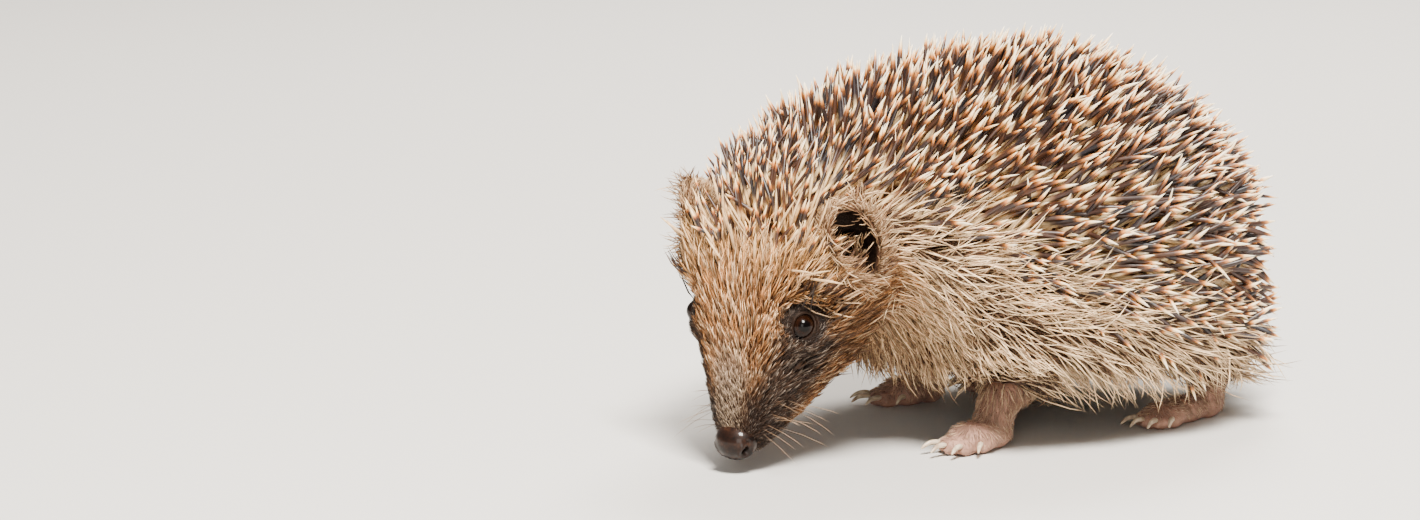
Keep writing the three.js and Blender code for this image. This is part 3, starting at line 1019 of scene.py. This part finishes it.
def coat(name, density, per_area, seed, length, heights, width, lean=(3, 60), rise=18, lock=9,
         gather=0.45, stray=(9, 6), profile=FINE_HAIR, sides=3, shades=(0.75, 1.2), light=0.0, dark=0.0,
         tint_curve=0.6, spread=(0.72, 1.15), way=lie, tints=None, stand=None, curl=0.07,
         narrow=None, hem=True):
    """A patch of hair: where it grows, how long it is, how it lies and gathers in locks.

    Lengths, widths and heights over the outside are in mm, lean, rise and stray in degrees.
    lock is how many hairs share a lock, gather how far they close up, and spread the range of lengths.
    light and dark are shares of the hairs, shades the range of brightness.
    """
    rng = np.random.default_rng(seed)
    roots, normals = scatter(density, per_area, rng)
    count = len(roots)
    leaders = np.sort(rng.choice(count, max(count // lock, 4), replace=False))
    finder = KDTree(len(leaders))
    for n, leader in enumerate(leaders):
        finder.insert(Vector(roots[leader]), n)
    finder.balance()
    follows = leaders[[finder.find(Vector(place))[1] for place in roots]]
    swing = rng.normal(0, stray[0], count)[follows] + rng.normal(0, stray[1], count)
    ways = turned(way(roots, normals), normals, swing)
    lengths = length(roots) * rng.uniform(*spread, count)
    tops = rng.uniform(*heights, count) * 0.6 + rng.uniform(*heights, count)[follows] * 0.4
    y, z = roots[:, 1], roots[:, 2]
    tops += HEM_RISE * smooth(34, 20, z) * smooth(17, 20, z) * smooth(-58, -40, y)
    leans = settle(roots, normals, ways, lengths, tops, *np.radians(lean))
    if stand is not None:
        leans = np.minimum(leans, np.radians(stand(roots, normals) + rng.normal(0, 15, count)))
        leans = np.maximum(leans, np.radians(lean[0]))
    tips = roots + lengths[:, None] * leaning(ways, normals, leans)
    gathered = tips[follows] + (roots - roots[follows]) * 0.3
    tips += (gathered - tips) * (gather * rng.uniform(0.5, 1.3, count))[:, None]
    steep = leans + np.radians(rise) * rng.uniform(0.4, 1.4, count)
    bends = roots + lengths[:, None] * 0.5 * leaning(ways, normals, steep)
    bends += np.cross(normals, ways) * (lengths * rng.normal(0, curl, count))[:, None]
    lowest = hem_over(tips, rng)
    if not hem:
        lowest = np.full(count, LOWEST_OFF_HEM)
    tips[:, 2] = np.maximum(tips[:, 2], lowest)
    bends[:, 2] = np.maximum(bends[:, 2], np.minimum(lowest + 1.5, roots[:, 2]))
    widths = width * rng.uniform(0.75, 1.25, count) * (1 if narrow is None else narrow(roots))
    tip_tint, root_tint, mask = markings_and_shade(roots)
    root_tint = mix(root_tint, tip_tint, 0.12)
    if tints is not None:
        tip_tint, root_tint = tints(roots)
    tip_tint = shaded(tip_tint, root_tint, mask, roots, light, dark, rng)
    bright = rng.uniform(*shades, count)[:, None]
    made = hair_mesh(name, roots - normals * ROOTED, bends, tips, normals, widths, profile, sides,
                     (root_tint * bright, tip_tint * bright), tint_curve, rng.random(count))
    stuff = "quills" if name.startswith("quills") else "fur"
    made.data.materials.append(MATERIALS[stuff])
    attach(made, "root")


MATERIALS = {"fur": fur_material(), "quills": quill_material(), "skin": skin_material()}


def off_eyes(places):
    """0 beside the eyes and 1 away from them."""
    return smooth(5.0, 6.4, eye_distance(places))


def off_ears(places):
    """0 on the ears and 1 off them."""
    return smooth(1.0, 1.1, ear_distance(places))


def clear_of_ears(places):
    """0 close round the ears and 1 away from them."""
    return smooth(1.45, 1.8, ear_distance(places))


def quill_tints(roots):
    """Warmer over the brow, and paler and cooler towards the rear."""
    plain = np.ones((len(roots), 3))
    warm = smooth(62, 44, behind_nose(roots)) * smooth(-30, -50, roots[:, 1])
    plain = mix(plain, np.array((1.1, 0.95, 0.76)), warm)
    plain *= (1 + np.outer(smooth(0, 55, roots[:, 1]), (0.06, 0.09, 0.16)))
    return plain, plain


def quill_length(roots):
    back = 16 + 3.5 * smooth(0, 16, border_of_quills(roots))
    front = 12.5 + 5 * smooth(38, 62, behind_nose(roots))
    return back + (front - back) * smooth(-40, -54, roots[:, 1])


def quills_grow(half):
    """Above the border on one half of the body."""
    def density(places, normals):
        return (border_of_quills(places) > 0) * clear_of_ears(places) * half(places)
    return density


QUILL_LOOK = dict(length=quill_length, heights=(-2, 4.8), width=1.16, lean=(12, 86), rise=4, lock=3,
                  gather=0.0, stray=(17, 24), profile=QUILL, sides=6, shades=(0.82, 1.12),
                  spread=(0.85, 1.1), tints=quill_tints, way=quills_lie, stand=quills_stand, curl=0.02,
                  narrow=lambda roots: 1 - 0.3 * smooth(-34, -54, roots[:, 1]))
coat("quills_left", quills_grow(lambda p: p[:, 0] >= 0), 0.3, 11, **QUILL_LOOK)
coat("quills_right", quills_grow(lambda p: p[:, 0] < 0), 0.3, 12, **QUILL_LOOK)


def brow_grows(places, normals):
    border = border_of_quills(places)
    on_brow = smooth(-46, -54, places[:, 1]) * clear_of_ears(places)
    return smooth(-2, 1, border) * smooth(10, 5, border) * on_brow


def bristle_tints(roots):
    tip = np.broadcast_to(colour(248, 208, 156), roots.shape)
    return tip, np.broadcast_to(colour(118, 78, 48), roots.shape)


def even(length):
    """The same length at every root."""
    return lambda roots: np.full(len(roots), length)


coat("fur_brow_bristles", brow_grows, 0.13, 31, even(15.0), (0.5, 6.5), 0.62, lean=(25, 80), rise=5,
     lock=2, gather=0.0, stray=(14, 18), profile=QUILL, sides=5, shades=(0.8, 1.15), tint_curve=0.7,
     way=quills_lie, tints=bristle_tints, curl=0.03)


def on_limbs(places):
    return smooth(17.5, 15.5, places[:, 2]) * smooth(-60, -50, places[:, 1])


def face_grows(places, normals):
    behind = behind_nose(places)
    return (smooth(11, 15, behind) * smooth(56, 48, behind) * smooth(3.5, -1, border_of_quills(places))
            * off_eyes(places) * off_ears(places) * smooth(-46, -54, places[:, 1]))


def face_length(roots):
    near_ear = smooth(1.9, 1.2, ear_distance(roots))
    near_eye = 0.24 + 0.76 * smooth(5, 13, eye_distance(roots))
    length = np.interp(behind_nose(roots), [8, 16, 24, 34, 44, 54], [2.4, 4, 6.5, 9, 11.5, 13])
    return length * (1 - 0.35 * near_ear) * near_eye


coat("fur_face", face_grows, 5, 21, face_length, (-1.6, 0.8), 0.36, lock=7, gather=0.42,
     stray=(10, 9), light=0.28, dark=0.36, shades=(0.42, 1.5), tint_curve=1.0)


def eyelids_grow(places, normals):
    away = eye_distance(places)
    return smooth(3.3, 3.8, away) * smooth(7.5, 6, away)


def eyelid_length(roots):
    return 1.0 + 0.45 * np.maximum(eye_distance(roots) - 3.4, 0)


coat("fur_eyelids", eyelids_grow, 9, 34, eyelid_length, (-9, 3), 0.15, lean=(10, 38), lock=4,
     gather=0.3, stray=(18, 14), light=0.2, dark=0.3, shades=(0.5, 1.3))


def muzzle_grows(places, normals):
    behind = behind_nose(places)
    return smooth(3.2, 4.6, behind) * smooth(19, 15, behind) * smooth(-56, -62, places[:, 1])


def muzzle_length(roots):
    return np.interp(behind_nose(roots), [3, 8, 14, 20], [1.3, 2.1, 3.2, 4.4])


coat("fur_muzzle", muzzle_grows, 10.5, 22, muzzle_length, (-0.6, 0.35), 0.17, lock=5, gather=0.35,
     stray=(14, 10), light=0.14, dark=0.36, shades=(0.5, 1.2), tint_curve=0.9)


def body_grows(places, normals):
    """Below the quills on neck, chest and flanks."""
    y = places[:, 1]
    head = smooth(30, 44, behind_nose(places)) * smooth(-14, -30, y)
    body = smooth(-58, -48, y) * smooth(-0.75, -0.35, normals[:, 2])
    throat = smooth(-58, -48, y) * smooth(-14, -30, y)
    share = np.maximum(np.maximum(head, body), throat)
    return share * off_ears(places) * (1 - on_limbs(places))


def on_half(grows, hand, reach):
    """The same patch on one side of the body, up to a distance above the quills' border."""
    def density(places, normals):
        below = smooth(reach, 0, border_of_quills(places))
        return grows(places, normals) * below * (places[:, 0] * hand > 0)
    return density


def under_length(roots):
    return 10 + 2 * smooth(-30, 0, roots[:, 1])


def long_length(roots):
    near_ear = smooth(2.4, 1.2, ear_distance(roots))
    on_head = np.interp(behind_nose(roots), [30, 44, 60], [10, 13, 16])
    share = smooth(-50, -34, roots[:, 1])
    on_body = (17 + 4 * smooth(-30, 30, roots[:, 1])) * (1 - 0.5 * smooth(64, 74, roots[:, 1]))
    return (on_head * (1 - share) + on_body * share) * (1 - 0.3 * near_ear)


def under_tints(roots):
    tip_tint, root_tint, _ = markings_and_shade(roots)
    return mix(root_tint, tip_tint, 0.1), root_tint * 0.6


def long_tints(roots):
    tip_tint, root_tint, _ = markings_and_shade(roots)
    return tip_tint, mix(root_tint, tip_tint, 0.2)


UNDER_LOOK = dict(length=under_length, heights=(-6, -2.2), width=0.38, lean=(3, 60), rise=20, lock=7,
                  stray=(15, 12), shades=(0.55, 1.25), dark=0.25, tints=under_tints)
LONG_LOOK = dict(length=long_length, heights=(-3.5, 2.8), width=0.42, lean=(3, 64), rise=24, lock=5,
                 gather=0.3, stray=(23, 20), profile=LONG_HAIR, shades=(0.58, 1.5), light=0.45, dark=0.24,
                 tint_curve=0.5, tints=long_tints, curl=0.12)
coat("fur_under_left", on_half(body_grows, 1, 4), 3.2, 23, **UNDER_LOOK)
coat("fur_under_right", on_half(body_grows, -1, 4), 3.2, 24, **UNDER_LOOK)
coat("fur_long_left", on_half(body_grows, 1, 7), 1.2, 25, **LONG_LOOK)
coat("fur_long_right", on_half(body_grows, -1, 7), 1.2, 29, **LONG_LOOK)


def ears_grow(places, normals):
    return (ear_distance(places) < 1.12) * (ear_hollow(places) < 0.15)


coat("fur_ears", ears_grow, 9, 28, even(3.0), (-9, 3), 0.22, lean=(14, 50), lock=5, gather=0.3,
     stray=(16, 14), light=0.3, dark=0.3, shades=(0.6, 1.2))


def from_ear(places):
    """Each place from the middle of the nearer ear: out of it, front to back, and upright."""
    local = np.full(places.shape, 99.0)
    ways = np.zeros((len(places), 3, 3))
    for hand in (1, -1):
        opening, width, upright = ear_ways(hand)
        axes = np.array((opening, width * hand, upright))
        away = (places - ear_centre(hand)) @ axes.T
        nearer = np.linalg.norm(away, axis=1) < np.linalg.norm(local, axis=1)
        local[nearer] = away[nearer]
        ways[nearer] = axes
    return local, ways


def ear_rim_grows(places, normals):
    """Round the rim, and most at its front and lower half."""
    out, back, up = from_ear(places)[0].T
    rim = (ear_distance(places) < 1.12) * (ear_hollow(places) < 0.7) * (out > -2.5)
    return rim * (0.04 + 0.45 * smooth(1.5, -2.5, back) * smooth(2, -4, up) + 0.3 * smooth(1, 3, back))


def ear_rim_way(places, normals):
    """Across the opening from its front, and up and forwards over its back edge."""
    local, ways = from_ear(places)
    opening, back, upright = ways.transpose(1, 0, 2)
    behind = smooth(0, 2.5, local[:, 1])[:, None]
    way = (back - upright * 0.15) * (1 - behind) + (upright - back * 0.45) * behind + opening * 0.25
    return across(way, normals)


coat("fur_ear_rims", ear_rim_grows, 5, 33, even(6.5), (-4, 6), 0.27, lean=(12, 60), rise=14, lock=3,
     gather=0.15, stray=(20, 20), profile=LONG_HAIR, light=0.3, dark=0.35, shades=(0.55, 1.25),
     way=ear_rim_way)


def belly_grows(places, normals):
    return smooth(-0.3, -0.6, normals[:, 2]) * (1 - on_limbs(places)) * smooth(-52, -44, places[:, 1])


def belly_length(roots):
    return 9 + 2.5 * smooth(-10, -30, roots[:, 1])


coat("fur_belly", belly_grows, 1.2, 26, belly_length, (-4, 0), 0.38, lock=7, gather=0.5,
     stray=(16, 10), dark=0.3, shades=(0.6, 1.15))


def limbs_grow(places, normals):
    return on_limbs(places) * smooth(2.0, 5.0, places[:, 2])


def limb_way(places, normals):
    return across(np.broadcast_to(np.array((0.0, 0.15, -1.0)), places.shape), normals)


def limb_length(roots):
    return np.interp(roots[:, 2], [2, 8, 16], [1.6, 3.0, 5.5])


coat("fur_legs", limbs_grow, 3.0, 27, limb_length, (-0.2, 0.9), 0.2, lean=(8, 30), lock=5, gather=0.3,
     stray=(14, 10), way=limb_way, light=0.2, dark=0.2, hem=False)

# The skin takes the roots' colours, their painted shade included.
tinge(skin.data, markings_and_shade(read(skin))[1])
skin.data.materials.clear()
skin.data.materials.append(MATERIALS["skin"])


# ---------------------------------------------------------------- eyes, nose and claws


def eye_material():
    """A dark wet eye: black pupil, brown iris and a black rim."""
    made, nodes, links, shader = material("dark_eye")
    away = attribute(nodes, "away").outputs["Fac"]
    rings = ramp(nodes, links, away, [
        (0.0, colour(8, 6, 6)),
        (0.36, colour(12, 8, 7)),
        (0.5, colour(32, 19, 12)),
        (0.66, colour(29, 18, 12)),
        (0.78, colour(14, 10, 9)),
        (1.0, colour(26, 20, 18)),
    ])
    fleck = noise(nodes, links, 2600, 2)
    flecked = mottled(nodes, links, rings, fleck, (0.7, 0.7, 0.7), (1.25, 1.2, 1.15))
    links.new(flecked, shader.inputs["Base Color"])
    set_values(shader, Roughness=0.2, Specular_IOR_Level=0.08)
    set_values(shader, Coat_Weight=0.24, Coat_IOR=1.38, Coat_Roughness=0.02)
    return made


def make_eye(hand, name):
    """An eyeball with the clear bulge of its front."""
    centre = eye_centre(hand)
    out, nose, up = eye_ways(hand)
    eye = ball(name, centre, (up, nose, out), (EYE_RADIUS * 2,) * 3, 64, 48)
    away = read(eye) - centre
    apart = np.linalg.norm(away - np.outer(away @ out, out), axis=1)
    facing = (away @ out) > 0
    bulge = 0.22 * smooth(2.4, 0.4, apart) * facing
    write(eye, read(eye) + np.outer(bulge, out))
    share = np.where(facing, apart / EYE_RADIUS, 1.0)
    mark(eye.data, "away", share)
    finish(eye, "eye", name)


def finish(made, stuff, *replaced):
    """Gives a piece its material and its place in the model."""
    only(made)
    edit_all(bpy.ops.mesh.normals_make_consistent, inside=False)
    bpy.ops.object.shade_smooth()
    made.data.materials.clear()
    made.data.materials.append(MATERIALS[stuff])
    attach(made, "root")
    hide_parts(*replaced)


def nose_material():
    """Wet dark leather, pebbled all over, with painted shade in the nostrils and in the grooves between the
    pebbles.
    """
    made, nodes, links, shader = material("wet_nose")
    place = node(nodes, "ShaderNodeTexCoord")
    pebbles = node(nodes, "ShaderNodeTexVoronoi", feature="SMOOTH_F1")
    pebbles.inputs["Scale"].default_value = 2400
    links.new(place.outputs["Object"], pebbles.inputs["Vector"])
    mottle = noise(nodes, links, 500, 3)
    shades = ramp(nodes, links, mottle, [
        (0.3, colour(16, 10, 8)),
        (0.55, colour(36, 22, 15)),
        (0.8, colour(60, 38, 26)),
    ])
    # Painted shade in the grooves between the pebbles, where the bump sinks, with the pebbles' middles a
    # little lighter.
    edges = pebbles.outputs["Distance"]
    gaps = ramp(nodes, links, edges, [(0.2, (1.1, 1.08, 1.06)), (0.7, (0.55, 0.52, 0.5))])
    leather = blend(nodes, links, "MULTIPLY", 0.6, shades, gaps)
    # Painted shade: near-black inside the nostrils, by their depth.
    nostril_shade = attribute(nodes, "nostril_shade").outputs["Fac"]
    links.new(blend(nodes, links, "MIX", nostril_shade, leather, colour(6, 4, 4)), shader.inputs["Base Color"])
    set_values(shader, Roughness=0.5, Specular_IOR_Level=0.1)
    set_values(shader, Coat_Weight=0.5, Coat_IOR=1.36, Coat_Roughness=0.1)
    bump(nodes, links, shader, sums(nodes, links, "MULTIPLY", edges, -1.0), 0.16, 0.0002)
    return made


NOSTRIL_DEPTH = 1.7


def make_nose():
    """The nose pad with its two comma nostrils and the groove between them."""
    centre = head_place(3.6, 0, 0.2)
    ways = np.array((FORWARD, LEFT, CROWN))
    nose = ball("nose", centre, (LEFT, CROWN, FORWARD), (10.4, 8.6, 8.8), 128, 96)
    places = read(nose)
    local = (places - centre) @ ways.T
    way = unit(local / (4.4, 5.2, 4.3))
    ahead, side, up = way[:, 0], abs(way[:, 1]), way[:, 2]
    heading = np.stack([ahead, side, up], axis=1)
    sink = np.zeros(len(places))
    hole = np.linalg.norm((heading - unit(np.array((0.55, 0.8, 0.06)))) / (1.15, 1, 1), axis=1)
    slit = near_line(heading, (0.5, 0.84, 0.1), (0.05, 0.9, 0.4))
    sink += NOSTRIL_DEPTH * np.exp(-((hole / 0.19) ** 2))
    sink -= 0.3 * np.exp(-(((hole - 0.38) / 0.12) ** 2)) * smooth(0.1, 0.5, ahead) * smooth(0.12, 0.3, slit)
    # The nostrils' depth, kept for the painted shade inside them.
    mark(nose.data, "nostril_shade", np.clip(sink, 0, NOSTRIL_DEPTH) / NOSTRIL_DEPTH)
    sink += 0.9 * np.exp(-((slit / 0.085) ** 2)) * smooth(-0.1, 0.15, ahead)
    sink += 0.35 * np.exp(-((side / 0.05) ** 2)) * smooth(0.3, -0.2, up) * smooth(-0.1, 0.3, ahead)
    write(nose, places - (way @ ways) * sink[:, None])
    return nose


def claw_material():
    """Horn, streaked brownish and pale."""
    made, nodes, links, shader = material("claw_horn")
    streaks = noise(nodes, links, 600, 3, 0.5)
    shades = ramp(nodes, links, streaks, [
        (0.25, colour(150, 126, 104)),
        (0.5, colour(196, 176, 150)),
        (0.8, colour(222, 206, 182)),
    ])
    links.new(shades, shader.inputs["Base Color"])
    set_values(shader, Roughness=0.32, Subsurface_Weight=0.1, Subsurface_Radius=(0.0008, 0.0006, 0.0004))
    bump(nodes, links, shader, noise(nodes, links, 3000, 2), 0.25, 0.0001)
    return made


MATERIALS.update(eye=eye_material(), nose=nose_material(), claw=claw_material())
make_eye(1, "eye_left")
make_eye(-1, "eye_right")
finish(make_nose(), "nose", "nose")
for foot in FEET:
    claws = [f"claw_{foot}_{n}" for n in range(1, 6)]
    horn = copy_of(claws, "claws_" + foot)
    apply(horn, "SUBSURF", levels=2, render_levels=2)
    finish(horn, "claw", *claws)


# ---------------------------------------------------------------- whiskers


WHISKER_WIDTH = 0.12


def grow_whiskers(name, each_side, seed):
    """Long stiff hairs that stand out from both sides of the muzzle."""
    rng = np.random.default_rng(seed)
    tree = tree_of(skin)
    roots, normals, tips, bends = [], [], [], []
    for hand in (1, -1):
        for _ in range(each_side):
            behind, rise = rng.uniform(6, 15), rng.uniform(-3.5, 3.0)
            start = head_place(behind, 30 * hand, rise)
            root, normal, _, _ = tree.ray_cast(Vector(start), Vector(-LEFT * hand))
            root, normal = np.array(root), np.array(normal)
            length = rng.uniform(8, 15)
            way = unit(normal * 0.8 + LEFT * hand * 0.7 - FORWARD * rng.uniform(-0.15, 0.5)
                       - CROWN * rng.uniform(-0.1, 0.6) + rng.normal(0, 0.12, 3))
            tip = root + way * length + np.array((0, 0, -1.0)) * length * 0.12
            tip[2] = max(tip[2], 0.6)
            roots.append(root - normal * 0.4)
            normals.append(normal)
            tips.append(tip)
            bends.append(root + way * length * 0.5 + np.array((0, 0, 0.6)))
    roots, normals, tips, bends = map(np.array, (roots, normals, tips, bends))
    count = len(roots)
    bright = rng.uniform(0.5, 1.1, count)[:, None]
    tints = [np.tile(tint, (count, 1)) * bright for tint in (colour(84, 62, 46), colour(190, 156, 122))]
    sideways = np.cross(normals, unit(tips - roots))
    widths = np.full(count, WHISKER_WIDTH)
    made = hair_mesh(name, roots, bends, tips, sideways, widths, LONG_HAIR, 4, tints, 1.0, rng.random(count))
    made.data.materials.append(MATERIALS["fur"])
    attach(made, "root")


grow_whiskers("whiskers", 13, 41)


# ---------------------------------------------------------------- camera, light and floor


def aim(made, place, towards):
    made.location = place
    made.rotation_mode = "QUATERNION"
    made.rotation_quaternion = Vector(towards).to_track_quat("-Z", "Y")


CAMERA_PLACE, CAMERA_WAY, LENS = (1.0320, -0.7425, 0.2632), (-0.82593, 0.53637, -0.17365), 138.4
camera = link("camera", bpy.data.cameras.new("camera"))
camera.data.lens = LENS
camera.data.sensor_width = 36
camera.data.clip_start = 0.05
camera.data.clip_end = 20
aim(camera, CAMERA_PLACE, CAMERA_WAY)
bpy.context.scene.camera = camera


def softbox(name, place, power, size):
    lamp = link(name, bpy.data.lights.new(name, "AREA"))
    lamp.data.energy = power
    lamp.data.size = size
    lamp.data.color = (1.0, 0.95, 0.88)
    aim(lamp, place, Vector((0, 0, 0.04)) - Vector(place))


softbox("key_light", (0.62, -0.3, 1.05), 66, 0.34)
softbox("fill_light", (1.2, -1.0, 0.4), 9, 0.7)
softbox("back_light", (-0.6, 0.6, 0.9), 26, 0.5)
world = bpy.data.worlds.new("studio")
bpy.context.scene.world = world
world.use_nodes = True
set_values(world.node_tree.nodes["Background"], Color=(1, 0.98, 0.95, 1), Strength=0.34)

bpy.ops.object.select_all(action="DESELECT")
bpy.ops.mesh.primitive_plane_add(size=14, location=(0, 0, 0))
floor = bpy.context.object
floor.name = "floor"
pale, _, _, shader = material("pale_floor")
set_values(shader, Base_Color=(0.62, 0.6, 0.57, 1), Roughness=0.8)
floor.data.materials.append(pale)
